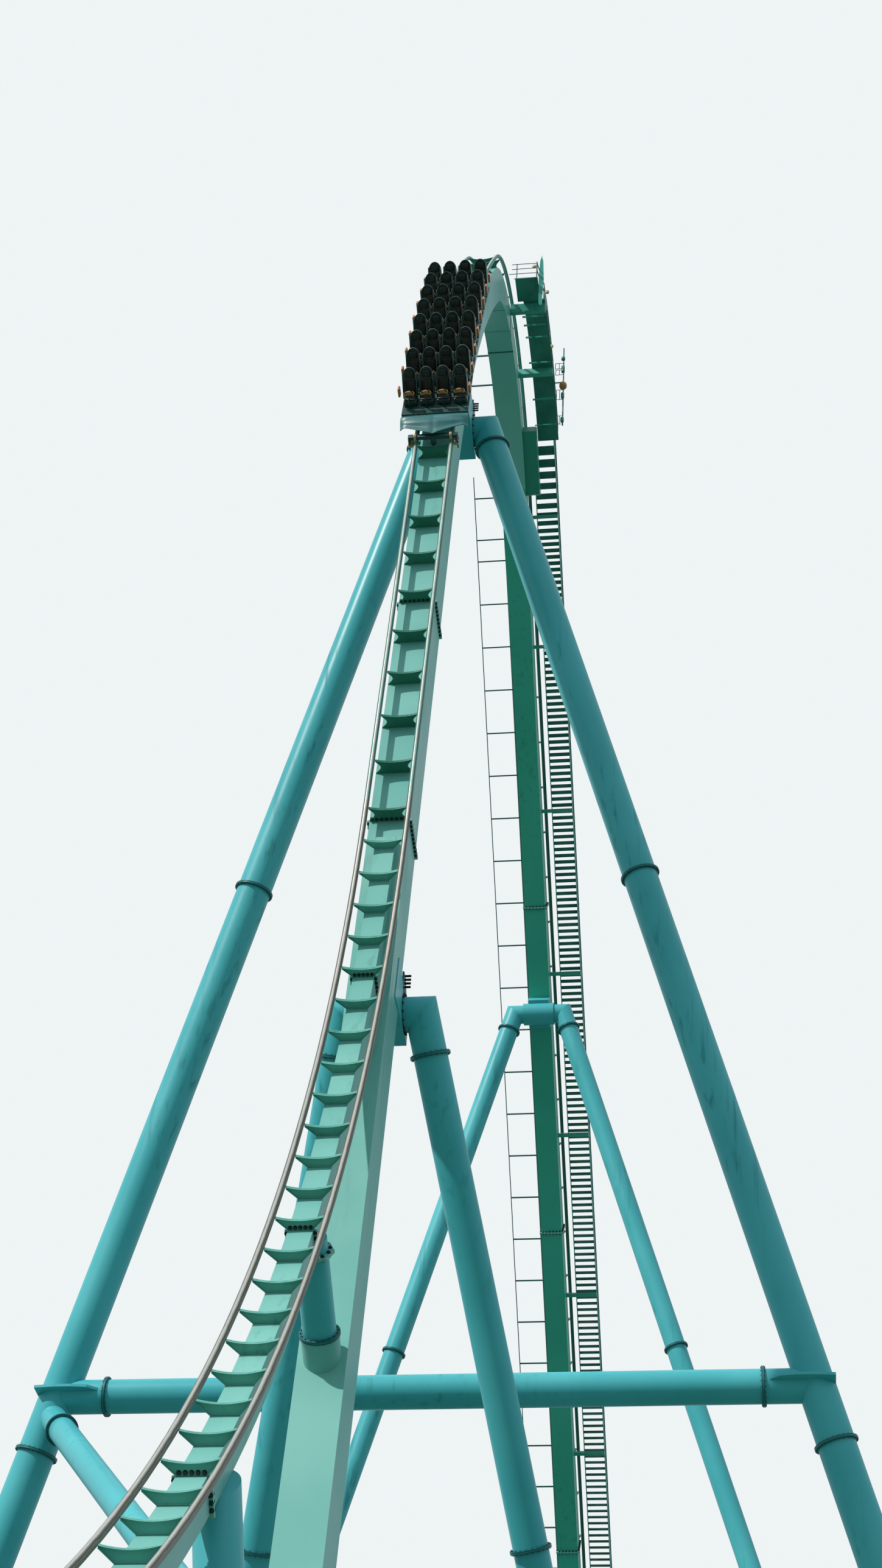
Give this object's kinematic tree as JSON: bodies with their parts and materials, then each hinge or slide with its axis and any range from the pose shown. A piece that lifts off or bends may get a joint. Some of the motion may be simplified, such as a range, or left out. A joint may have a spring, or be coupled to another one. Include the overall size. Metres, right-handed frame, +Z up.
{
  "type": "roller coaster crest, 1:10 scale model",
  "caption": "Steel roller coaster lift hill, tight crest and steep drop on raking tube supports, with an open train of four-abreast seats on the drop; scale model.",
  "frame": {"origin": "middle of the main column's foot, on the ground", "axes": "+Y from the pull-out towards the lift hill, in the track's plane; +X to the stair's side; +Z up"},
  "size_m": [4.3722, 16.7674, 9.1434],
  "materials": {
    "track_paint": "satin mint-green coating",
    "support_paint": "satin teal coating",
    "running_rail": "bronze-brown paint worn bright along the running line",
    "galvanised_tube": "weathered galvanised",
    "grating": "galvanised open grating",
    "stair_paint": "satin mint-green coating",
    "housing_paint": "satin green coating",
    "trough_steel": "greased bare steel",
    "base_steel": "satin teal coating",
    "seat_shell": "textured dark green",
    "lap_bar": "moulded orange-tan",
    "nose_shell": "glossy teal",
    "wheel_tread": "cast amber polyurethane",
    "car_frame": "satin dark green"
  },
  "bodies": {
    "root": {"chain_trough": "trough_steel", "column_base_plate": "base_steel", "crest_arms": "stair_paint", "crest_deck": "grating", "crest_railing": "galvanised_tube", "crest_rails": "running_rail", "crest_spine": "track_paint", "crest_ties": "track_paint", "drop_spine": "track_paint", "front_brace": "support_paint", "front_crossbar": "support_paint", "front_knife_plates": "support_paint", "front_leg_head": "support_paint", "front_leg_left": "support_paint", "front_leg_right": "support_paint", "instrument_mast": "galvanised_tube", "leg_base_plates": "base_steel", "lift_frame_1_leg_left": "support_paint", "lift_frame_1_leg_right": "support_paint", "lift_frame_2_leg_left": "support_paint", "lift_frame_2_leg_right": "support_paint", "lift_frame_3_leg_left": "support_paint", "lift_frame_3_leg_right": "support_paint", "lift_frame_4_leg_left": "support_paint", "lift_frame_4_leg_right": "support_paint", "lift_frame_headers": "support_paint", "lift_frame_saddles": "support_paint", "lift_motor_housing": "housing_paint", "lift_rails": "running_rail", "lift_spine_lower": "track_paint", "lift_spine_upper": "track_paint", "lift_ties": "track_paint", "main_column": "track_paint", "pull_out_rails": "running_rail", "pull_out_spine_lower": "track_paint", "pull_out_spine_upper": "track_paint", "pull_out_strut": "support_paint", "pull_out_ties": "track_paint", "rear_leg_head": "support_paint", "rear_leg_left": "support_paint", "rear_leg_right": "support_paint", "splice_flanges": "track_paint", "stair_brackets": "stair_paint", "stair_handrail": "galvanised_tube", "stair_stringers": "stair_paint", "stair_treads": "grating", "strut_stub": "track_paint", "track_columns": "support_paint", "train_axle_beams": "car_frame", "train_floors": "car_frame", "train_lap_bars": "lap_bar", "train_nose": "nose_shell", "train_seats": "seat_shell", "train_wheels": "wheel_tread", "walkway_frame": "galvanised_tube"}
  },
  "joints": []
}
